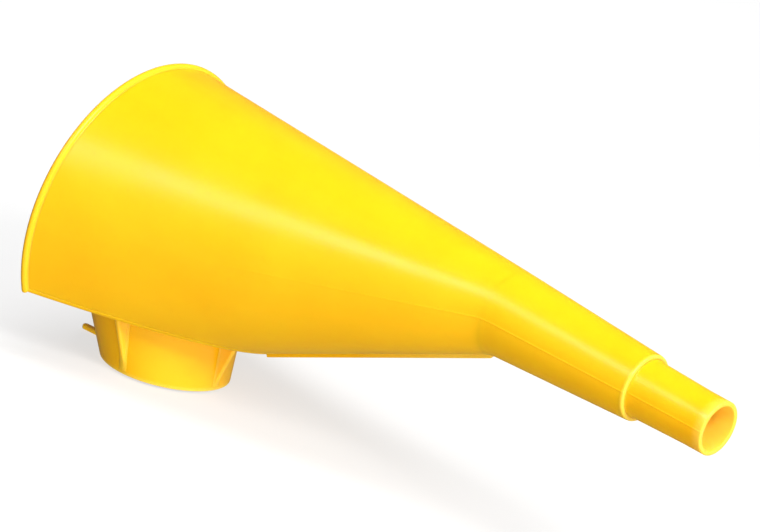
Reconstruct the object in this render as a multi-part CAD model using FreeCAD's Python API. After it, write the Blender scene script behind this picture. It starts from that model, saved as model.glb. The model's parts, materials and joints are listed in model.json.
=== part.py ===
import FreeCAD, Part

import math
import os

# Slip-on pouring funnel for a fuel can, moulded in polyethylene. Millimetres.
#
# Frame: the origin is the centre of the can collar's bottom rim. +Z is up along the collar's axis.
# +X runs from the open mouth towards the outlet. The part is mirrored about the XZ plane.
#
# The body is an oblique cone: a large mouth circle and a small root circle joined by straight lines.
# A flat floor cuts it off below, and the can collar hangs under that floor.

Vector = FreeCAD.Vector

# --- driving dimensions -------------------------------------------------------------------------

WALL = 2.0                   # moulded wall thickness of the body, floor and spout

# Mouth: the big circle that the body starts from. Its plane leans forward from upright.
MOUTH_X = -36.8
MOUTH_Z = 60.9
MOUTH_RADIUS = 70.0
MOUTH_LEAN = 2.5
RIM_BEAD_RADIUS = 1.7

# Spout: a slim cone, drooping slightly towards the outlet. Its root circle ends the body.
ROOT_X = 175.0
ROOT_Z = 94.1
ROOT_RADIUS = 19.7
SPOUT_DROOP = 3.2
SPOUT_LENGTH = 78.6
SPOUT_END_RADIUS = 15.65
SHOULDER_ROUND = 1.1         # rounded outer corner where the spout steps down to the nozzle

# Nozzle: the stepped-down outlet tube. Its tip is straight, so that it seats in a filler neck.
NOZZLE_LENGTH = 40.9
NOZZLE_STRAIGHT = 12.0
NOZZLE_ROOT_RADIUS = 13.55
NOZZLE_TIP_RADIUS = 12.7
NOZZLE_WALL = 2.2
NOZZLE_EDGE_ROUND = 0.6

# Floor: a flat plate under the body, with a small lip all round.
FLOOR_Z = 28.7
FLOOR_LIP = 0.5

# Can collar: a ring that slips over the can's pouring neck. Its top is wider and set back.
COLLAR_RADIUS = 29.9
COLLAR_TOP_RADIUS = 36.6
COLLAR_TOP_X = -8.1
COLLAR_WALL = 2.2
COLLAR_SEAT = 5.0            # straight band at the bottom of the bore that grips the neck
FLOOR_FLANGE = 2.4           # how far the floor reaches out past the collar behind the mouth

# Ribs: thin triangular fins between the collar and the floor.
RIB_THICKNESS = 2.6
RIB_FOOT_Z = 1.2
SIDE_RIB_REACH = 43.6
FRONT_RIB_REACH = 38.6
FRONT_RIB_FLARE = 3.2        # how far the front rib's foot spreads along the floor
FRONT_RIB_FLARE_HEIGHT = 4.0

# Tongue: a small bar that points back from the bottom of the collar.
TONGUE_TIP_X = -50.3
TONGUE_WIDTH = 3.4
TONGUE_THICKNESS = 2.4
TONGUE_BOTTOM_Z = -1.0

# Keel: a low rib on the body's underside, from the floor's front end to the spout.
KEEL_START_X = 54.0
KEEL_END_X = 173.0
KEEL_HEIGHT = 1.8
KEEL_THICKNESS = 2.0

# --- derived places -----------------------------------------------------------------------------

FLOOR_TOP = FLOOR_Z + WALL
MOUTH_CENTRE = Vector(MOUTH_X, 0, MOUTH_Z)
ROOT_CENTRE = Vector(ROOT_X, 0, ROOT_Z)
FAR = 500.0                  # size of a cutting block that reaches past the whole part


def leaning_axis(degrees):
    """Unit vector along +X, tipped down by the given angle."""
    angle = math.radians(degrees)
    return Vector(math.cos(angle), 0, -math.sin(angle))


MOUTH_AXIS = leaning_axis(MOUTH_LEAN)
SPOUT_AXIS = leaning_axis(SPOUT_DROOP)
UP = Vector(0, 0, 1)


def circle_wire(centre, axis, radius):
    return Part.Wire([Part.makeCircle(radius, centre, axis)])


def ruled_solid(wires):
    """Solid whose sides are straight lines between the given closed wires."""
    return Part.makeLoft(wires, True, True)


def body_cone(offset):
    """The oblique body cone, with both circles made larger by offset."""
    mouth = circle_wire(MOUTH_CENTRE, MOUTH_AXIS, MOUTH_RADIUS + offset)
    root = circle_wire(ROOT_CENTRE, SPOUT_AXIS, ROOT_RADIUS + offset)
    return ruled_solid([mouth, root])


def block_below(height):
    return Part.makeBox(2 * FAR, 2 * FAR, FAR, Vector(-FAR, -FAR, height - FAR))


def slab(low, high):
    return Part.makeBox(2 * FAR, 2 * FAR, high - low, Vector(-FAR, -FAR, low))


def plate_from_outline(points, normal, thickness):
    """Flat plate of the given thickness, centred on the plane of its outline."""
    face = Part.Face(Part.makePolygon(points + points[:1]))
    plate = face.extrude(normal * thickness)
    plate.translate(normal * (-thickness / 2))
    return plate


def turned(profile, origin, axis):
    """Solid of revolution from (distance along axis, radius) points."""
    side = UP - axis * UP.dot(axis)
    side.normalize()
    points = [origin + axis * along + side * radius for along, radius in profile]
    face = Part.Face(Part.makePolygon(points + points[:1]))
    return face.revolve(origin, axis, 360)


def round_edges_at(solid, origin, axis, along, radius, size):
    """Round the circular edges of solid that lie at one distance along axis, at one radius."""
    chosen = []
    for edge in solid.Edges:
        curve = edge.Curve
        if not isinstance(curve, Part.Circle):
            continue
        same_place = abs((curve.Center - origin).dot(axis) - along) < 0.01
        if same_place and abs(curve.Radius - radius) < 0.01:
            chosen.append(edge)
    return solid.makeFillet(size, chosen)


# --- body ---------------------------------------------------------------------------------------

def cone_shell():
    """Thin wall of the body, open at the mouth, at the spout and where the floor closes it."""
    shell = body_cone(0).cut(body_cone(-WALL))
    return shell.cut(block_below(FLOOR_TOP))


def floor_plate():
    """Flat floor under the body, with the hole that the can's neck opens through."""
    plate = body_cone(FLOOR_LIP).common(slab(FLOOR_Z, FLOOR_TOP))
    collar_top = Vector(COLLAR_TOP_X, 0, FLOOR_Z)
    flange = Part.makeCylinder(COLLAR_TOP_RADIUS + FLOOR_FLANGE, WALL, collar_top)
    hole_start = Vector(COLLAR_TOP_X, 0, FLOOR_Z - 1)
    hole = Part.makeCylinder(COLLAR_TOP_RADIUS - COLLAR_WALL, WALL + 2, hole_start)
    return plate.fuse(flange).cut(hole).removeSplitter()


def mouth_rim(shell, floor):
    """Round bead along the mouth's arch, from one floor corner over the top to the other."""
    bead = Part.makeTorus(MOUTH_RADIUS, RIM_BEAD_RADIUS, MOUTH_CENTRE, MOUTH_AXIS)
    return bead.cut([block_below(FLOOR_Z), shell, floor])


def keel_rib(shell, floor):
    """Low rib along the lowest line of the body, behind the spout."""
    side = Vector(-MOUTH_AXIS.z, 0, MOUTH_AXIS.x)
    mouth_bottom = MOUTH_CENTRE - side * MOUTH_RADIUS
    root_side = Vector(-SPOUT_AXIS.z, 0, SPOUT_AXIS.x)
    root_bottom = ROOT_CENTRE - root_side * ROOT_RADIUS
    slope = (root_bottom.z - mouth_bottom.z) / (root_bottom.x - mouth_bottom.x)

    def keel_point(x, below):
        return Vector(x, 0, mouth_bottom.z + slope * (x - mouth_bottom.x) - below)

    outline = [
        keel_point(KEEL_START_X, KEEL_HEIGHT),
        keel_point(KEEL_END_X - KEEL_HEIGHT, KEEL_HEIGHT),
        keel_point(KEEL_END_X, 0),
        keel_point(KEEL_END_X, -WALL / 2),
        keel_point(KEEL_START_X, -WALL / 2),
    ]
    rib = plate_from_outline(outline, Vector(0, 1, 0), KEEL_THICKNESS)
    return rib.cut([body_cone(0), floor])


# --- can collar ---------------------------------------------------------------------------------

def collar_outside():
    bottom = circle_wire(Vector(0, 0, 0), UP, COLLAR_RADIUS)
    top = circle_wire(Vector(COLLAR_TOP_X, 0, FLOOR_Z), UP, COLLAR_TOP_RADIUS)
    return ruled_solid([bottom, top])


def can_collar():
    """Ring under the floor: a straight seat at the bottom, then a bore that widens backwards."""
    bore_radius = COLLAR_RADIUS - COLLAR_WALL
    seat = Part.makeCylinder(bore_radius, COLLAR_SEAT + 1, Vector(0, 0, -1))
    flare_bottom = circle_wire(Vector(0, 0, COLLAR_SEAT), UP, bore_radius)
    flare_centre = Vector(COLLAR_TOP_X, 0, FLOOR_Z)
    flare_top = circle_wire(flare_centre, UP, COLLAR_TOP_RADIUS - COLLAR_WALL)
    flare = ruled_solid([flare_bottom, flare_top])
    return collar_outside().cut(seat).cut(flare)


def collar_rib(outward, reach, flare=0):
    """Triangular fin from the collar's foot out to its reach under the floor, where it can flare."""
    inner = COLLAR_RADIUS - COLLAR_WALL
    share = FRONT_RIB_FLARE_HEIGHT / (FLOOR_Z - RIB_FOOT_Z)
    flare_start = reach - (reach - COLLAR_RADIUS) * share
    outline = [
        outward * inner + UP * RIB_FOOT_Z,
        outward * COLLAR_RADIUS + UP * RIB_FOOT_Z,
        outward * flare_start + UP * (FLOOR_Z - FRONT_RIB_FLARE_HEIGHT),
        outward * (reach + flare) + UP * FLOOR_Z,
        outward * inner + UP * FLOOR_Z,
    ]
    fin = plate_from_outline(outline, outward.cross(UP), RIB_THICKNESS)
    return fin.cut(collar_outside()).removeSplitter()


def collar_tongue():
    """Small round-ended bar that points back from the foot of the collar."""
    half = TONGUE_WIDTH / 2
    length = -TONGUE_TIP_X - half
    corner = Vector(-length, -half, TONGUE_BOTTOM_Z)
    bar = Part.makeBox(length, TONGUE_WIDTH, TONGUE_THICKNESS, corner)
    end = Part.makeCylinder(half, TONGUE_THICKNESS, Vector(-length, 0, TONGUE_BOTTOM_Z))
    ring_core = Part.makeCylinder(COLLAR_RADIUS, 2 * TONGUE_THICKNESS, Vector(0, 0, -TONGUE_THICKNESS))
    return bar.fuse(end).cut([ring_core, collar_outside()]).removeSplitter()


# --- spout --------------------------------------------------------------------------------------

def spout_tube():
    """Slim tapered tube from the body's root to the shoulder."""
    taper = (ROOT_RADIUS - SPOUT_END_RADIUS) / SPOUT_LENGTH
    length = SPOUT_LENGTH - WALL
    end_radius = ROOT_RADIUS - taper * length
    profile = [
        (0, ROOT_RADIUS - WALL),
        (0, ROOT_RADIUS),
        (length, end_radius),
        (length, end_radius - WALL),
    ]
    return turned(profile, ROOT_CENTRE, SPOUT_AXIS)


def spout_shoulder():
    """Ring that closes the spout's end down to the nozzle, with a rounded outer corner."""
    taper = (ROOT_RADIUS - SPOUT_END_RADIUS) / SPOUT_LENGTH
    start = SPOUT_LENGTH - WALL
    profile = [
        (start, NOZZLE_ROOT_RADIUS - NOZZLE_WALL),
        (start, ROOT_RADIUS - taper * start),
        (SPOUT_LENGTH, SPOUT_END_RADIUS),
        (SPOUT_LENGTH, NOZZLE_ROOT_RADIUS - NOZZLE_WALL),
    ]
    ring = turned(profile, ROOT_CENTRE, SPOUT_AXIS)
    return round_edges_at(ring, ROOT_CENTRE, SPOUT_AXIS, SPOUT_LENGTH, SPOUT_END_RADIUS, SHOULDER_ROUND)


def nozzle_tip():
    """Outlet tube: slightly tapered from the shoulder, then straight to its rounded end."""
    end = SPOUT_LENGTH + NOZZLE_LENGTH
    straight_start = end - NOZZLE_STRAIGHT
    profile = [
        (SPOUT_LENGTH, NOZZLE_ROOT_RADIUS - NOZZLE_WALL),
        (SPOUT_LENGTH, NOZZLE_ROOT_RADIUS),
        (straight_start, NOZZLE_TIP_RADIUS),
        (end, NOZZLE_TIP_RADIUS),
        (end, NOZZLE_TIP_RADIUS - NOZZLE_WALL),
        (straight_start, NOZZLE_TIP_RADIUS - NOZZLE_WALL),
    ]
    tube = turned(profile, ROOT_CENTRE, SPOUT_AXIS)
    return round_edges_at(tube, ROOT_CENTRE, SPOUT_AXIS, end, NOZZLE_TIP_RADIUS, NOZZLE_EDGE_ROUND)


# --- the whole part -----------------------------------------------------------------------------

def make_parts():
    shell = cone_shell()
    floor = floor_plate()
    return {
        "cone_shell": shell,
        "floor_plate": floor,
        "mouth_rim": mouth_rim(shell, floor),
        "keel_rib": keel_rib(shell, floor),
        "can_collar": can_collar(),
        "collar_rib_left": collar_rib(Vector(0, 1, 0), SIDE_RIB_REACH),
        "collar_rib_right": collar_rib(Vector(0, -1, 0), SIDE_RIB_REACH),
        "collar_rib_front": collar_rib(Vector(1, 0, 0), FRONT_RIB_REACH, FRONT_RIB_FLARE),
        "collar_tongue": collar_tongue(),
        "spout_tube": spout_tube(),
        "spout_shoulder": spout_shoulder(),
        "nozzle_tip": nozzle_tip(),
    }


def main():
    os.makedirs("parts", exist_ok=True)
    for name, shape in make_parts().items():
        solids = shape.Solids
        if len(solids) != 1 or not solids[0].isValid():
            raise RuntimeError(f"{name}: {len(solids)} solids, valid {shape.isValid()}")
        solids[0].exportStep(os.path.join("parts", f"{name}.step"))
        print(f"{name}: {solids[0].Volume / 1000:.2f} cm3")


main()
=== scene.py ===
import json
import math

import bmesh
import bpy
from mathutils import Matrix, Vector


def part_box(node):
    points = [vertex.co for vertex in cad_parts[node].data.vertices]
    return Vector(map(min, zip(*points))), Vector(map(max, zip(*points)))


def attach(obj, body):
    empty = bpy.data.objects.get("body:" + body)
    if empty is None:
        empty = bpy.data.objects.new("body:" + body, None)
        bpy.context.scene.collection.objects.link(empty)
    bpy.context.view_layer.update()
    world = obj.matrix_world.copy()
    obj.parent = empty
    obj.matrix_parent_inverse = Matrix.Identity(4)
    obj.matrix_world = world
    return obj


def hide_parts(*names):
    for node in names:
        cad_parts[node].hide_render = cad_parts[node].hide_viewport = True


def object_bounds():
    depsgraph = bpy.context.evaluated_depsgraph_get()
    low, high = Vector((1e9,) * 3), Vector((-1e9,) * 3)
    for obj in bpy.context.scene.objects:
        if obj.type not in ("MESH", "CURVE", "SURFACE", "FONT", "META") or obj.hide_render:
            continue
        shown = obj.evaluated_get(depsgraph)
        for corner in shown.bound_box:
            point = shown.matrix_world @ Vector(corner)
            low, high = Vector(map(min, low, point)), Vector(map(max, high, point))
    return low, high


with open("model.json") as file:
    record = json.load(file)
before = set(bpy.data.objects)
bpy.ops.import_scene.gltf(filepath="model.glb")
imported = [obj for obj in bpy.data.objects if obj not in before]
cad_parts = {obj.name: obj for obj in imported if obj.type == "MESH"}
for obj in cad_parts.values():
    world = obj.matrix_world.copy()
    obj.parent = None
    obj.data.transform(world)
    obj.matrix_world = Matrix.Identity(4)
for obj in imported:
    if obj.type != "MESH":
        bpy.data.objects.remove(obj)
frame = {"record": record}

# Looks for the slip-on can funnel. Metres, in the same frame as the CAD model: the origin is the centre
# of the can collar's bottom rim, +Z is up and +X runs from the mouth to the outlet. The real object is
# one polyethylene moulding, so each CAD node is replaced by a finished piece that meets its neighbours.
# The finished pieces add what the CAD model leaves out: rounded edges, fillets and the parting line.

CAD_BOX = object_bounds()
MM = 0.001
FORWARD = Vector((1, 0, 0))
SIDE = Vector((0, 1, 0))
UP = Vector((0, 0, 1))

# --- sizes read from the frame ------------------------------------------------------------------


def mount(name):
    return next(m for m in frame["record"]["mounts"] if m["name"] == name)


SHELL_LOW, SHELL_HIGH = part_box("cone_shell")
FLOOR_LOW, FLOOR_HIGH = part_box("floor_plate")
RIM_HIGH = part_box("mouth_rim")[1]
SPOUT_LOW, SPOUT_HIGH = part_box("spout_tube")
SHOULDER_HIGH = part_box("spout_shoulder")[1]
NOZZLE_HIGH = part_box("nozzle_tip")[1]
COLLAR_LOW, COLLAR_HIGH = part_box("can_collar")
KEEL_LOW, KEEL_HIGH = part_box("keel_rib")
TONGUE_LOW, TONGUE_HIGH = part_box("collar_tongue")
SIDE_RIB_LOW, SIDE_RIB_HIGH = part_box("collar_rib_left")
FRONT_RIB_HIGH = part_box("collar_rib_front")[1]

FLOOR_Z = FLOOR_LOW.z
FLOOR_TOP = FLOOR_HIGH.z
WALL = FLOOR_TOP - FLOOR_Z
FLOOR_LIP = 0.25 * MM

# The mouth circle, in a plane that leans forward from upright.
MOUTH_LEAN = math.radians(2.5)
MOUTH_RADIUS = SHELL_HIGH.y
MOUTH_Z = SHELL_HIGH.z - MOUTH_RADIUS * math.cos(MOUTH_LEAN)
MOUTH_X = SHELL_LOW.x + (MOUTH_Z - FLOOR_TOP) * math.tan(MOUTH_LEAN)
MOUTH_CENTRE = Vector((MOUTH_X, 0, MOUTH_Z))
BEAD_RADIUS = RIM_HIGH.y - MOUTH_RADIUS

# The spout's axis, and the root circle where the body ends.
SPOUT_AXIS = Vector(mount("nozzle_tip")["axis"]).normalized()
DROOP = math.asin(-SPOUT_AXIS.z)
ROOT_RADIUS = SPOUT_HIGH.y
ROOT_X = SPOUT_LOW.x + ROOT_RADIUS * math.sin(DROOP)
ROOT_Z = SPOUT_HIGH.z - ROOT_RADIUS * math.cos(DROOP)
ROOT_CENTRE = Vector((ROOT_X, 0, ROOT_Z))
BODY_LENGTH = (ROOT_CENTRE - MOUTH_CENTRE).length
BODY_AXIS = (ROOT_CENTRE - MOUTH_CENTRE) / BODY_LENGTH
BODY_TAPER = (MOUTH_RADIUS - ROOT_RADIUS) / BODY_LENGTH
ROOT_BLEND = 5 * MM          # reach of the soft bend between the body and the spout, each way

# The nozzle's place comes from its mount's pin. The step up to the spout lies a fixed way behind that.
TIP_RADIUS = mount("nozzle_tip")["dims"]["r_mm"] * MM
NOZZLE_ROOT_RADIUS = NOZZLE_HIGH.y
NOZZLE_WALL = 2.2 * MM
NOZZLE_STRAIGHT = 12 * MM
NOZZLE_LENGTH = 40.9 * MM
NOZZLE_TO_PIN = 34.6 * MM    # from the step to the middle of the mount's pin
NOZZLE_PIN = (Vector(mount("nozzle_tip")["pos_m"]) - ROOT_CENTRE).dot(SPOUT_AXIS)
NOZZLE_START = NOZZLE_PIN - NOZZLE_TO_PIN
NOZZLE_END = NOZZLE_START + NOZZLE_LENGTH
SHOULDER_START = NOZZLE_START - WALL
SPOUT_TAPER = (ROOT_RADIUS - SHOULDER_HIGH.y) / SHOULDER_START
SHOULDER_ROUND = 1.1 * MM

# The can collar: its top is wider and set back, and its bore starts with a straight seat.
COLLAR_RADIUS = COLLAR_HIGH.x
COLLAR_TOP_RADIUS = COLLAR_HIGH.y
COLLAR_TOP_X = COLLAR_LOW.x + COLLAR_TOP_RADIUS
BORE_RADIUS = mount("can_collar")["dims"]["r_mm"] * MM
SEAT_HEIGHT = mount("can_collar")["dims"]["length_mm"] * MM
COLLAR_WALL = COLLAR_RADIUS - BORE_RADIUS
RIM_EASE = 0.6 * MM          # rounding of the collar's bottom edges

# The hole in the floor continues the collar's bore, and the floor reaches out past the collar's top.
HOLE_RADIUS = COLLAR_TOP_RADIUS - COLLAR_WALL
FLANGE_RADIUS = COLLAR_TOP_X - FLOOR_LOW.x

# The front rib spreads out along the floor, and the keel slopes away at the spout.
FLARE = 3.2 * MM
FLARE_HEIGHT = 4.5 * MM
KEEL_HEIGHT = 1.8 * MM
KEEL_RAMP = 2.2 * MM

# The mould's parting line: a fine ridge along both sides of the body, the spout and the nozzle.
RIDGE_HEIGHT = 0.13 * MM
RIDGE_OFFSETS = [-0.9, -0.45, -0.25, -0.1, 0.1, 0.25, 0.45, 0.9]
RIDGE_SHARES = [0, 0, 0.5, 1, 1, 0.5, 0, 0]
RIDGE_FADE = 130 * MM        # it fades out this far back along the body

# --- mesh helpers -------------------------------------------------------------------------------

SHARP_ANGLE = math.radians(34)   # edges that bend more than this are shaded as creases


def finish_piece(node, points, faces, pale_and_painted_light):
    """Turn points and faces into the piece that stands for one CAD node."""
    mesh = bpy.data.meshes.new(node + "_skin")
    mesh.from_pydata(points, [], faces)
    # Per-point weight towards a pale colour: partly the thin plastic's own paleness, partly painted
    # highlight and painted light.
    pale_and_painted_light_layer = mesh.attributes.new("pale_and_painted_light", "FLOAT", "POINT")
    pale_and_painted_light_layer.data.foreach_set("value", pale_and_painted_light)
    work = bmesh.new()
    work.from_mesh(mesh)
    bmesh.ops.recalc_face_normals(work, faces=work.faces)
    work.to_mesh(mesh)
    work.free()
    mesh.shade_smooth()
    mesh.set_sharp_from_angle(angle=SHARP_ANGLE)
    piece = bpy.data.objects.new(node + "_skin", mesh)
    bpy.context.collection.objects.link(piece)
    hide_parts(node)
    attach(piece, "root")
    return piece


def band(first, second, count, closed=True):
    """Quads between two rings of points, given the index of each ring's first point."""
    last = count if closed else count - 1
    quads = []
    for i in range(last):
        j = (i + 1) % count
        quads.append((first + i, first + j, second + j, second + i))
    return quads


def lofted(node, rings, pale_and_painted_light, looped):
    """Piece through equal rings. A looped loft joins its last ring to its first, others get ends."""
    count = len(rings[0])
    points = [point for ring in rings for point in ring]
    faces = []
    for i in range(len(rings) - 1):
        faces += band(i * count, (i + 1) * count, count)
    if looped:
        faces += band((len(rings) - 1) * count, 0, count)
    else:
        faces.append(tuple(range(count)))
        faces.append(tuple(range(len(points) - count, len(points))))
    weights = [weight for weight in pale_and_painted_light for _ in range(count)]
    return finish_piece(node, points, faces, weights)


def arc(centre, radius, start, stop, steps):
    """Points on a flat arc, angles in degrees."""
    angles = [math.radians(start + (stop - start) * i / steps) for i in range(steps + 1)]
    return [(centre[0] + radius * math.cos(a), centre[1] + radius * math.sin(a)) for a in angles]


def spread(start, stop, steps):
    return [start + (stop - start) * i / steps for i in range(steps + 1)]


# --- the body, spout and nozzle surface ----------------------------------------------------------


def above(lean):
    return Vector((math.sin(lean), 0, math.cos(lean)))


def station(along):
    """Centre, radius and upward direction of the circle this far past the root, or before it if
    negative."""
    bend = max(0, ROOT_BLEND - abs(along)) ** 2 / (4 * ROOT_BLEND)
    slope, taper = (BODY_AXIS, BODY_TAPER) if along < 0 else (SPOUT_AXIS, SPOUT_TAPER)
    centre = ROOT_CENTRE + slope * along + (SPOUT_AXIS - BODY_AXIS) * bend
    radius = ROOT_RADIUS - taper * along + (BODY_TAPER - SPOUT_TAPER) * bend
    lean = DROOP + (DROOP - MOUTH_LEAN) * min(0, along) / BODY_LENGTH
    return centre, radius, above(lean)


def around(centre, upward, radius, angle):
    """Point at an angle from the top, towards +Y."""
    return centre + (upward * math.cos(angle) + SIDE * math.sin(angle)) * radius


def skin_point(angle, along, inset):
    centre, radius, upward = station(along)
    return around(centre, upward, radius - inset, angle)


def corner_angle(radius, height):
    """Angle at which a circle of this radius in the mouth plane passes down through a height."""
    return math.acos((height - MOUTH_Z) / (radius * math.cos(MOUTH_LEAN)))


def floor_crossing(angle, inset, height):
    """How far along the body the skin rises to a height, or the mouth's place if it starts above it."""
    low, high = -BODY_LENGTH, -ROOT_BLEND
    if skin_point(angle, low, inset).z >= height:
        return low
    for _ in range(40):
        middle = (low + high) / 2
        if skin_point(angle, middle, inset).z < height:
            low = middle
        else:
            high = middle
    return high


CORNER = corner_angle(MOUTH_RADIUS, FLOOR_TOP)
INNER_CORNER = corner_angle(MOUTH_RADIUS - WALL, FLOOR_TOP)
ARCH_STEPS = 54              # columns from the top of the arch down to a floor corner
BELLY_STEPS = 36             # columns from a floor corner to the lowest line


def half_columns():
    """Columns from the top down one side: each an angle, a ridge offset in mm and a ridge share."""
    columns = []
    gap = math.radians(5)
    for angle in spread(0, CORNER, ARCH_STEPS):
        if abs(angle - math.pi / 2) > gap:
            columns.append((angle, 0, 0))
    for offset, share in zip(RIDGE_OFFSETS, RIDGE_SHARES):
        columns.append((math.pi / 2, offset, share))
    columns.sort(key=lambda column: (column[0], column[1]))
    columns += [(angle, 0, 0) for angle in spread(CORNER, math.pi, BELLY_STEPS)[1:]]
    return columns


HALF = half_columns()
COLUMNS = HALF + [(-a, -offset, share) for a, offset, share in reversed(HALF[1:-1])]


def column_ring(centre, upward, radius, ridge):
    """One ring of the outside, with the parting ridge standing up by the given height."""
    ring = []
    for angle, offset, share in COLUMNS:
        turned = angle + offset * MM / radius
        ring.append(around(centre, upward, radius + ridge * share, turned))
    return ring


def skin_ring(along, inset, ridge):
    centre, radius, upward = station(along)
    return column_ring(centre, upward, radius - inset, ridge)


# --- body ---------------------------------------------------------------------------------------

BODY_ROWS = spread(0, 1, 44)
ROOT_ROWS = spread(-ROOT_BLEND * 1.6, 0, 16)


def shell_column(column, inset):
    """Points of one body column from the mouth or floor to the root, on the outside or the inside."""
    angle, offset, share = column
    if inset > 0:
        angle = inner_angle(angle)
    start = floor_crossing(angle, inset, FLOOR_TOP)
    rows = [start + (ROOT_ROWS[0] - start) * row for row in BODY_ROWS] + ROOT_ROWS[1:]
    points = []
    for along in rows:
        centre, radius, upward = station(along)
        fade = max(0, 1 + along / RIDGE_FADE) * RIDGE_HEIGHT * share
        radius = radius - inset if inset else radius + fade
        points.append(around(centre, upward, radius, angle + offset * MM / radius))
    return points


def inner_angle(angle):
    """Angle on the inside that keeps the floor corner on a column."""
    size = abs(angle)
    if size <= CORNER:
        size *= INNER_CORNER / CORNER
    else:
        size = math.pi - (math.pi - size) * (math.pi - INNER_CORNER) / (math.pi - CORNER)
    return math.copysign(size, angle)


def body():
    outside = [shell_column(column, 0) for column in COLUMNS]
    inside = [shell_column(column, WALL) for column in COLUMNS]
    rows = len(outside[0])
    rings = [[column[row] for column in outside] for row in range(rows)]
    rings += [[column[row] for column in inside] for row in reversed(range(rows))]
    return lofted("cone_shell", rings, [0] * len(rings), True)


def rim_section(angle, scale):
    """Outline of the mouth's round bead at one angle, with the fillet that joins it to the shell."""
    upward = above(MOUTH_LEAN)
    start = around(MOUTH_CENTRE, upward, MOUTH_RADIUS, angle)
    end = around(ROOT_CENTRE, above(DROOP), ROOT_RADIUS, angle)
    forward = (end - start).normalized()
    radial = upward * math.cos(angle) + SIDE * math.sin(angle)
    outward = (radial - forward * radial.dot(forward)).normalized()
    stop = 180 + math.degrees(math.atan2(radial.dot(outward), radial.dot(forward)))
    bead = BEAD_RADIUS * scale
    fillet = 0.9 * MM * scale
    reach = math.sqrt((bead + fillet) ** 2 - fillet ** 2)
    lift = math.degrees(math.atan2(fillet, reach))
    outline = arc((reach, fillet), fillet, 270, 180 + lift, 5)
    outline += arc((0, 0), bead, lift, stop, 26)[1:]
    outline.append((0, 0))
    return [start + forward * x + outward * y for x, y in outline]


def rim():
    end = corner_angle(MOUTH_RADIUS, FLOOR_Z)
    angles = spread(-end, end, 150)
    ease = [math.radians(share) for share in (0.25, 0.6, 1.1)]
    steps = [(-end, 0.72)] + [(-end + e, s) for e, s in zip(ease, (0.88, 0.97, 1))]
    steps += [(angle, 1) for angle in angles if abs(angle) < end - math.radians(1.5)]
    steps += [(end - e, s) for e, s in zip(reversed(ease), (1, 0.97, 0.88))] + [(end, 0.72)]
    rings = [rim_section(angle, scale) for angle, scale in steps]
    return lofted("mouth_rim", rings, [0.15] * len(rings), False)


# --- floor --------------------------------------------------------------------------------------

BACK_STEPS = 8
FLANGE_STEPS = 36


def floor_outline(height, shrink):
    """Outline of the floor at a height, made smaller by shrink, starting from the +Y mouth corner."""
    inset = shrink - FLOOR_LIP
    radius = MOUTH_RADIUS - inset
    corner = corner_angle(radius, height)
    points = []
    for angle in spread(corner, 2 * math.pi - corner, 2 * BELLY_STEPS):
        along = floor_crossing(angle, inset, height)
        points.append(skin_point(angle, along, inset))
    back_x = MOUTH_X - (MOUTH_Z - height) * math.tan(MOUTH_LEAN) + shrink
    flange = FLANGE_RADIUS - shrink
    half_width = math.sqrt(flange ** 2 - (back_x - COLLAR_TOP_X) ** 2)
    for y in spread(points[-1].y, -half_width, BACK_STEPS)[1:]:
        points.append(Vector((back_x, y, height)))
    start = math.atan2(-half_width, back_x - COLLAR_TOP_X)
    for turn in spread(start, -2 * math.pi - start, FLANGE_STEPS)[1:]:
        x = COLLAR_TOP_X + flange * math.cos(turn)
        points.append(Vector((x, flange * math.sin(turn), height)))
    for y in spread(half_width, points[0].y, BACK_STEPS)[1:-1]:
        points.append(Vector((back_x, y, height)))
    return points


def hole_ring(outline, radius, height):
    """Ring round the floor's hole with its points facing the outline's points."""
    ring = []
    for point in outline:
        turn = math.atan2(point.y, point.x - COLLAR_TOP_X)
        x = COLLAR_TOP_X + radius * math.cos(turn)
        ring.append(Vector((x, radius * math.sin(turn), height)))
    return ring


def floor():
    """Flat plate with a softly rounded edge all round and an eased upper edge on its hole."""
    middle = (FLOOR_Z + FLOOR_TOP) / 2
    edge = [(0.6, 0), (0.24, 0.08), (0.08, 0.24), (0, 0.5)]
    levels = [(shrink * MM, FLOOR_Z + rise * MM) for shrink, rise in edge]
    levels += [(shrink, 2 * middle - height) for shrink, height in reversed(levels)]
    rings = [floor_outline(height, shrink) for shrink, height in levels]
    plain = floor_outline(middle, 0)
    ease = 0.4 * MM
    rings.append(hole_ring(plain, HOLE_RADIUS + ease, FLOOR_TOP))
    rings.append(hole_ring(plain, HOLE_RADIUS + ease * 0.3, FLOOR_TOP - ease * 0.3))
    rings.append(hole_ring(plain, HOLE_RADIUS, FLOOR_TOP - ease))
    rings.append(hole_ring(plain, HOLE_RADIUS, FLOOR_Z))
    return lofted("floor_plate", rings, [0] * len(rings), True)


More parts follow.
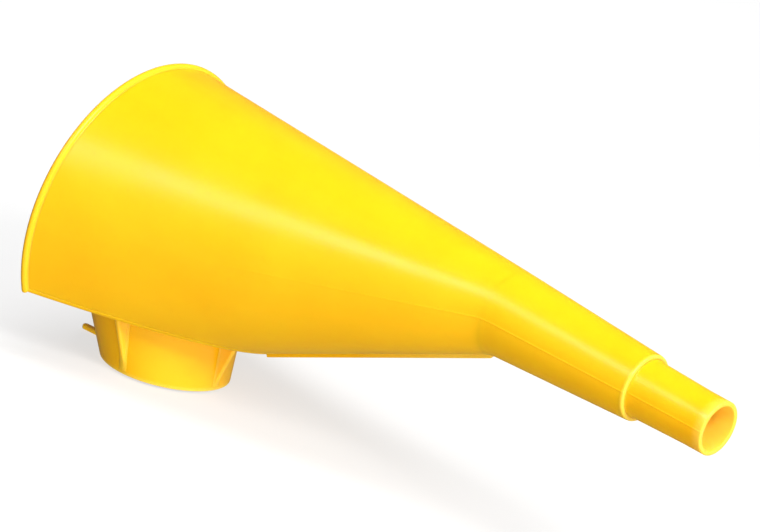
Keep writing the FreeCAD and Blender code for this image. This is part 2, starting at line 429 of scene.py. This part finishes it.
def keel():
    """Low rib under the body, rounded and filleted, with a ramp at the spout. Its spout half is painted
    paler, a painted highlight.
    """
    mouth_bottom = around(MOUTH_CENTRE, above(MOUTH_LEAN), -MOUTH_RADIUS, 0)
    root_bottom = around(ROOT_CENTRE, above(DROOP), -ROOT_RADIUS, 0)
    forward = (root_bottom - mouth_bottom).normalized()
    down = Vector((forward.z, 0, -forward.x))
    half = KEEL_HIGH.y
    start, stop = KEEL_LOW.x, KEEL_HIGH.x
    rings, pale_and_painted_light = [], []
    for x in spread(start, stop - KEEL_RAMP, 50) + spread(stop - KEEL_RAMP, stop, 8)[1:]:
        foot = mouth_bottom + forward * ((x - mouth_bottom.x) / forward.x)
        height = KEEL_HEIGHT * math.sqrt(min(1, (stop - x) / KEEL_RAMP)) + 0.05 * MM
        sides = [(1.7 * half, -0.7 * MM), (1.5 * half, 0), (1.1 * half, 0.2 * MM)]
        nose = [(0.95, 0.4), (0.9, 0.72), (0.72, 0.92), (0.35, 1)]
        sides += [(across * half, deep * height) for across, deep in nose]
        whole = sides + [(-across, deep) for across, deep in reversed(sides)]
        rings.append([foot + SIDE * across + down * deep for across, deep in whole])
        # Paler towards the spout: a painted highlight along the keel's lit half.
        pale_and_painted_light.append(min(1, max(0, 2.4 * (x - start) / (stop - start) - 0.9)))
    return lofted("keel_rib", rings, pale_and_painted_light, False)


# --- can collar ---------------------------------------------------------------------------------


def collar_ring(height, radius, centre_height):
    """Level ring of the collar. Its centre moves back with height."""
    x = COLLAR_TOP_X * max(0, centre_height) / FLOOR_Z
    turns = [2 * math.pi * i / 144 for i in range(144)]
    return [Vector((x + radius * math.cos(t), radius * math.sin(t), height)) for t in turns]


def outside_radius(height):
    return COLLAR_RADIUS + (COLLAR_TOP_RADIUS - COLLAR_RADIUS) * height / FLOOR_Z


def collar():
    rings, pale_and_painted_light = [], []
    for inward, height in arc((RIM_EASE, RIM_EASE), RIM_EASE, 270, 180, 5):
        rings.append(collar_ring(height, outside_radius(height) - inward, height))
        pale_and_painted_light.append(1)
    for height in spread(2 * MM, FLOOR_Z - 1.6 * MM, 14):
        rings.append(collar_ring(height, outside_radius(height), height))
        pale_and_painted_light.append(0)
    for outward, drop in ((0.08, 0.8), (0.3, 0.35), (0.8, 0)):
        height = FLOOR_Z - drop * MM
        rings.append(collar_ring(height, outside_radius(height) + outward * MM, height))
        pale_and_painted_light.append(0)
    rings.append(collar_ring(FLOOR_Z, HOLE_RADIUS, FLOOR_Z))
    pale_and_painted_light.append(0)
    rise = FLOOR_Z - SEAT_HEIGHT
    for share in spread(1, 0, 10)[1:]:
        radius = BORE_RADIUS + (HOLE_RADIUS - BORE_RADIUS) * share
        rings.append(collar_ring(SEAT_HEIGHT + rise * share, radius, FLOOR_Z * share))
        pale_and_painted_light.append(0)
    for outward, height in arc((RIM_EASE, RIM_EASE), RIM_EASE, 180, 270, 5):
        rings.append(collar_ring(height, BORE_RADIUS + outward, 0))
        pale_and_painted_light.append(1)
    return lofted("can_collar", rings, pale_and_painted_light, True)


def rib_outline(outward, across, inner, outer, half, height):
    """Level outline of a rib: filleted where it meets the collar, rounded along its free edge."""
    reach = outer - inner
    nose = min(half * 0.9, reach * 0.5)
    side = [(inner - 1.1 * MM, half + 1.0 * MM), (inner + 0.05 * MM, half + 0.75 * MM)]
    side += [(inner + 0.3 * MM, half + 0.28 * MM), (inner + 0.8 * MM, half)]
    side = [(min(x, outer - nose * 0.6), y) for x, y in side]
    for a in spread(0, 1.35, 5):
        side.append((outer - nose + nose * math.sin(a), half - nose + nose * math.cos(a)))
    whole = side + [(x, -y) for x, y in reversed(side)]
    return [outward * x + across * y + UP * height for x, y in whole]


def rib(node, outward, foot, reach, half, flare=0):
    """Thin triangular fin between the collar's wall and the floor, where it can flare out."""
    across = UP.cross(outward)
    rings = []
    for height in spread(foot, FLOOR_Z - 5 * MM, 12) + spread(FLOOR_Z - 5 * MM, FLOOR_Z, 12)[1:]:
        centre = outward.x * COLLAR_TOP_X * height / FLOOR_Z
        sideways = COLLAR_TOP_X * height / FLOOR_Z - outward.x * centre
        radius = outside_radius(height)
        inner = centre + math.sqrt(radius ** 2 - sideways ** 2)
        outer = COLLAR_RADIUS + (reach - COLLAR_RADIUS) * (height - foot) / (FLOOR_Z - foot)
        outer += flare * max(0, 1 - (FLOOR_Z - height) / FLARE_HEIGHT) ** 2
        outer = max(outer, inner + 0.25 * MM)
        rings.append(rib_outline(outward, across, inner, outer, half, height))
    return lofted(node, rings, [0.4] * len(rings), False)


def tongue():
    """Small round-ended bar at the collar's foot, with softened edges."""
    half = TONGUE_HIGH.y
    tip = TONGUE_LOW.x
    root = -COLLAR_RADIUS + 0.9 * MM
    ease = 0.8 * MM
    low, high = TONGUE_LOW.z, TONGUE_HIGH.z
    edge = [(ease - ease * math.cos(a), ease - ease * math.sin(a)) for a in spread(1.571, 0, 5)]
    levels = [(inset, low + rise) for inset, rise in edge]
    levels += [(inset, high - rise) for inset, rise in reversed(edge)]
    rings = []
    for inset, height in levels:
        radius = half - inset
        end = arc((tip + half, 0), radius, 90, 270, 16)
        outline = [(root, radius)] + end + [(root, -radius)]
        rings.append([Vector((x, y, height)) for x, y in outline])
    return lofted("collar_tongue", rings, [0.2] * len(rings), False)


# --- spout --------------------------------------------------------------------------------------


def spout():
    rows = spread(0, ROOT_BLEND * 1.6, 16) + spread(ROOT_BLEND * 1.6, SHOULDER_START, 24)[1:]
    rings = [skin_ring(along, 0, RIDGE_HEIGHT) for along in rows]
    rings += [skin_ring(along, WALL, 0) for along in reversed(rows)]
    return lofted("spout_tube", rings, [0] * len(rings), True)


def turned_rings(profile):
    """Rings round the spout's axis from (distance, radius, ridge height) rows."""
    upward = above(DROOP)
    return [column_ring(ROOT_CENTRE + SPOUT_AXIS * a, upward, r, ridge) for a, r, ridge in profile]


def shoulder():
    """The step: a rounded outer corner, a flat face and a small fillet down to the nozzle."""
    bore = NOZZLE_ROOT_RADIUS - NOZZLE_WALL
    start_radius = ROOT_RADIUS - SPOUT_TAPER * SHOULDER_START
    end_radius = ROOT_RADIUS - SPOUT_TAPER * NOZZLE_START
    corner = (NOZZLE_START - SHOULDER_ROUND, end_radius - SHOULDER_ROUND)
    profile = [(SHOULDER_START, start_radius, RIDGE_HEIGHT)]
    pale_and_painted_light = [0]
    # The rounded corner is painted pale: a painted highlight line.
    for i, (along, radius) in enumerate(arc(corner, SHOULDER_ROUND, 87, 0, 8)):
        profile.append((along, radius, RIDGE_HEIGHT * (1 - i / 8)))
        pale_and_painted_light.append(1 if i > 1 else 0.4)
    profile.append((NOZZLE_START, NOZZLE_ROOT_RADIUS - 0.3 * MM, 0))
    profile.append((NOZZLE_START, bore, 0))
    profile.append((SHOULDER_START + 0.6 * MM, bore, 0))
    profile.append((SHOULDER_START + 0.2 * MM, bore + 0.15 * MM, 0))
    profile.append((SHOULDER_START, bore + 0.6 * MM, 0))
    # The step's face and the bore behind it are painted pale too: painted highlight on the face, painted
    # light in the bore.
    return lofted("spout_shoulder", turned_rings(profile), pale_and_painted_light + [0.4, 1, 1, 1, 1], True)


def nozzle():
    """Outlet tube: a fillet at the step, a slight taper, then straight to its rounded end."""
    fillet = 0.5 * MM
    ease = 0.6 * MM
    straight = NOZZLE_END - NOZZLE_STRAIGHT
    middle = (NOZZLE_ROOT_RADIUS + TIP_RADIUS) / 2
    profile, pale_and_painted_light = [], []
    for along, radius in arc((NOZZLE_START + fillet, NOZZLE_ROOT_RADIUS + fillet), fillet, 180, 268, 5):
        profile.append((along, radius, 0))
        pale_and_painted_light.append(0)
    for share in spread(0.06, 1, 12):
        radius = NOZZLE_ROOT_RADIUS + (TIP_RADIUS - NOZZLE_ROOT_RADIUS) * share
        profile.append((NOZZLE_START + (straight - NOZZLE_START) * share, radius, RIDGE_HEIGHT))
        pale_and_painted_light.append(0)
    for share in spread(0, 1, 3)[1:-1]:
        profile.append((straight + (NOZZLE_STRAIGHT - 2 * MM) * share, TIP_RADIUS, RIDGE_HEIGHT))
        pale_and_painted_light.append(0)
    # The rounded end is painted pale: a painted highlight.
    for i, (along, radius) in enumerate(arc((NOZZLE_END - ease, TIP_RADIUS - ease), ease, 90, 0, 6)):
        profile.append((along, radius, RIDGE_HEIGHT * max(0, 1 - i / 3)))
        pale_and_painted_light.append(1)
    bore = TIP_RADIUS - NOZZLE_WALL
    inner = 0.35 * MM
    # The inner rounding and the bore are painted pale: painted light inside the bore.
    for along, radius in arc((NOZZLE_END - inner, bore + inner), inner, 0, -90, 4):
        profile.append((along, radius, 0))
        pale_and_painted_light.append(1)
    profile.append((straight, bore, 0))
    profile.append((NOZZLE_START, NOZZLE_ROOT_RADIUS - NOZZLE_WALL, 0))
    return lofted("nozzle_tip", turned_rings(profile), pale_and_painted_light + [1, 1], True)


# --- material -----------------------------------------------------------------------------------


class Graph:
    """Short way to build a node tree."""

    def __init__(self, name):
        self.material = bpy.data.materials.new(name)
        self.material.use_nodes = True
        self.tree = self.material.node_tree
        self.tree.nodes.clear()

    def node(self, kind, inputs=None, **settings):
        made = self.tree.nodes.new("ShaderNode" + kind)
        for key, value in settings.items():
            setattr(made, key, value)
        for key, value in (inputs or {}).items():
            if isinstance(value, bpy.types.NodeSocket):
                self.tree.links.new(value, made.inputs[key])
            else:
                made.inputs[key].default_value = value
        return made

    def noise(self, where, scale, detail, roughness):
        inputs = {"Vector": where, "Scale": scale, "Detail": detail, "Roughness": roughness}
        return self.node("TexNoise", inputs).outputs["Fac"]

    def blend(self, factor, first, second):
        made = self.node("Mix", data_type="RGBA")
        for key, value in ((0, factor), (6, first), (7, second)):
            if isinstance(value, bpy.types.NodeSocket):
                self.tree.links.new(value, made.inputs[key])
            else:
                made.inputs[key].default_value = value
        return made.outputs[2]

    def fit(self, value, low, high, to_low, to_high):
        inputs = {"Value": value, "From Min": low, "From Max": high, "To Min": to_low, "To Max": to_high}
        return self.node("MapRange", inputs).outputs["Result"]

    def math(self, operation, first, second):
        return self.node("Math", {0: first, 1: second}, operation=operation).outputs[0]

    def output(self, shader):
        self.node("OutputMaterial", {"Surface": shader.outputs[0]})


def polyethylene():
    """Moulded yellow polyethylene: satin gloss, cloudy pigment, flow streaks, and paler places that are
    partly thin plastic and partly painted highlight and painted light.
    """
    graph = Graph("moulded_polyethylene")
    place = graph.node("TexCoord").outputs["Object"]
    along = graph.node("Mapping", {"Vector": place, "Scale": (9, 70, 70)}).outputs["Vector"]
    clouds = graph.noise(place, 22, 3, 0.55)
    streaks = graph.noise(along, 1, 4, 0.6)
    specks = graph.noise(place, 420, 2, 0.5)
    pebbles = graph.noise(place, 1500, 2, 0.6)
    waves = graph.noise(place, 60, 2, 0.5)

    deep = (0.88, 0.440, 0.002, 1)
    clear = (0.93, 0.482, 0.003, 1)
    pale_and_painted_light_colour = (0.96, 0.64, 0.10, 1)
    streaked = (0.95, 0.505, 0.006, 1)
    speckled = (0.84, 0.40, 0.002, 1)
    colour = graph.blend(graph.fit(clouds, 0.3, 0.7, 0, 1), deep, clear)
    colour = graph.blend(graph.fit(streaks, 0.45, 0.75, 0, 0.35), colour, streaked)
    colour = graph.blend(graph.fit(specks, 0.6, 0.8, 0, 0.25), colour, speckled)
    # Paints the colour paler by the per-point weight: partly thin plastic's own paleness, partly painted
    # highlights on edges and the keel, and painted light in the nozzle's bore.
    pale_and_painted_light = graph.node("Attribute", attribute_name="pale_and_painted_light").outputs["Fac"]
    colour = graph.blend(graph.math("MULTIPLY", pale_and_painted_light, 0.5), colour, pale_and_painted_light_colour)

    cloudy_gloss = graph.fit(clouds, 0.3, 0.7, -0.02, 0.03)
    streaky_gloss = graph.fit(streaks, 0.3, 0.7, 0.29, 0.34)
    gloss = graph.math("ADD", cloudy_gloss, streaky_gloss)
    grain = graph.math("ADD", graph.fit(pebbles, 0.3, 0.7, 0, 1), graph.fit(waves, 0.3, 0.7, 0, 3))
    relief = {"Strength": 0.35, "Distance": 0.03 * MM, "Height": grain}
    bump = graph.node("Bump", relief).outputs["Normal"]
    inputs = {"Base Color": colour, "Roughness": gloss, "Normal": bump, "IOR": 1.5}
    inputs["Specular IOR Level"] = 0.28
    inputs["Subsurface Weight"] = 0.4
    inputs["Subsurface Radius"] = (1.0, 0.7, 0.12)
    inputs["Subsurface Scale"] = 4 * MM
    graph.output(graph.node("BsdfPrincipled", inputs))
    return graph.material


def floor_finish():
    """Matt white studio floor with a very faint mottling."""
    graph = Graph("studio_floor")
    place = graph.node("TexCoord").outputs["Object"]
    mottle = graph.noise(place, 5, 4, 0.6)
    darker = (0.24, 0.24, 0.24, 1)
    lighter = (0.26, 0.26, 0.26, 1)
    colour = graph.blend(graph.fit(mottle, 0.3, 0.7, 0, 1), darker, lighter)
    inputs = {"Base Color": colour, "Roughness": 0.9, "Specular IOR Level": 0.1}
    inputs["Emission Color"] = (1, 1, 1, 1)
    inputs["Emission Strength"] = 0.66
    graph.output(graph.node("BsdfPrincipled", inputs))
    return graph.material


# --- stage, light and camera --------------------------------------------------------------------

LIGHT_DISTANCE = 3.0


def direction(azimuth, elevation):
    """Unit vector towards a place seen from the part. Azimuth 0 is -Y and 90 is +X, in degrees."""
    a, e = math.radians(azimuth), math.radians(elevation)
    return Vector((math.sin(a) * math.cos(e), -math.cos(a) * math.cos(e), math.sin(e)))


def stage_floor(height):
    """Studio floor that only the camera sees, so that it doesn't bleach the plastic's underside."""
    half = 9.0
    corners = [(-half, -half), (half, -half), (half, half), (-half, half)]
    mesh = bpy.data.meshes.new("studio_floor")
    mesh.from_pydata([(x, y, height) for x, y in corners], [], [(0, 1, 2, 3)])
    mesh.materials.append(floor_finish())
    plane = bpy.data.objects.new("studio_floor", mesh)
    bpy.context.collection.objects.link(plane)
    plane.visible_diffuse = False
    plane.visible_glossy = False
    plane.visible_shadow = False


def softbox(name, centre, azimuth, elevation, size, radiance, matt=True, gloss=True):
    """Soft light that faces the part. It can be kept out of the matt shading or out of the gloss."""
    lamp = bpy.data.lights.new(name, "AREA")
    lamp.shape = "RECTANGLE"
    lamp.size, lamp.size_y = size
    lamp.energy = 4 * radiance * size[0] * size[1]
    light = bpy.data.objects.new(name, lamp)
    bpy.context.collection.objects.link(light)
    away = direction(azimuth, elevation)
    light.location = centre + away * LIGHT_DISTANCE
    light.rotation_mode = "QUATERNION"
    light.rotation_quaternion = away.to_track_quat("Z", "Y")
    light.visible_diffuse = matt
    light.visible_glossy = gloss


def sky(dark, bright, azimuth, elevation):
    """White surroundings that are brighter towards one side."""
    world = bpy.data.worlds.new("studio")
    bpy.context.scene.world = world
    world.use_nodes = True
    nodes, links = world.node_tree.nodes, world.node_tree.links
    nodes.clear()
    place = nodes.new("ShaderNodeTexCoord")
    facing = nodes.new("ShaderNodeVectorMath")
    facing.operation = "DOT_PRODUCT"
    facing.inputs[1].default_value = direction(azimuth, elevation)
    ramp = nodes.new("ShaderNodeMapRange")
    ramp.interpolation_type = "SMOOTHSTEP"
    ramp.inputs["From Min"].default_value = -0.6
    ramp.inputs["To Min"].default_value = dark
    ramp.inputs["To Max"].default_value = bright
    background = nodes.new("ShaderNodeBackground")
    output = nodes.new("ShaderNodeOutputWorld")
    links.new(place.outputs["Generated"], facing.inputs[0])
    links.new(facing.outputs["Value"], ramp.inputs["Value"])
    links.new(ramp.outputs["Result"], background.inputs["Strength"])
    links.new(background.outputs[0], output.inputs["Surface"])


def camera(target, azimuth, elevation, roll, distance, lens):
    """Long-lens camera that looks at target, rolled about its own axis."""
    back = direction(azimuth, elevation)
    level = Vector((math.cos(math.radians(azimuth)), math.sin(math.radians(azimuth)), 0))
    rise = back.cross(level)
    turn = math.radians(roll)
    right = level * math.cos(turn) + rise * math.sin(turn)
    upward = rise * math.cos(turn) - level * math.sin(turn)
    data = bpy.data.cameras.new("photo_view")
    data.lens = lens
    data.sensor_width = 36
    data.clip_end = 50
    eye = bpy.data.objects.new("photo_view", data)
    bpy.context.collection.objects.link(eye)
    eye.rotation_mode = "QUATERNION"
    eye.rotation_quaternion = Matrix((right, upward, back)).transposed().to_quaternion()
    eye.location = target + back * distance
    bpy.context.scene.camera = eye


# --- put it together ----------------------------------------------------------------------------

side_foot = SIDE_RIB_LOW.z
side_half = SIDE_RIB_HIGH.x
front_half = FRONT_RIB_HIGH.y
pieces = [
    body(),
    rim(),
    floor(),
    keel(),
    collar(),
    rib("collar_rib_left", SIDE, side_foot, SIDE_RIB_HIGH.y, side_half),
    rib("collar_rib_right", -SIDE, side_foot, SIDE_RIB_HIGH.y, side_half),
    rib("collar_rib_front", FORWARD, side_foot, FRONT_RIB_HIGH.x - FLARE, front_half, FLARE),
    tongue(),
    spout(),
    shoulder(),
    nozzle(),
]
plastic = polyethylene()
for piece in pieces:
    piece.data.materials.append(plastic)

middle = (CAD_BOX[0] + CAD_BOX[1]) / 2
stage_floor(CAD_BOX[0].z - 0.1 * MM)
sky(dark=0.16, bright=1.34, azimuth=75, elevation=10)
softbox("band_light", middle, -20, 40, (1.0, 0.6), 9.5, matt=False)
softbox("key_light", middle, 68, 38, (0.9, 0.9), 26.0)
softbox("top_light", middle, 60, 80, (1.2, 1.2), 11.0, gloss=False)
softbox("bounce_light", middle, 50, -35, (1.6, 1.2), 4.6, gloss=False)
target = Vector((0.0564, 0.0648, 0.0629))
camera(target, azimuth=35.54, elevation=17.58, roll=13.31, distance=3.512, lens=370.4)
bpy.context.scene.view_settings.view_transform = "Standard"
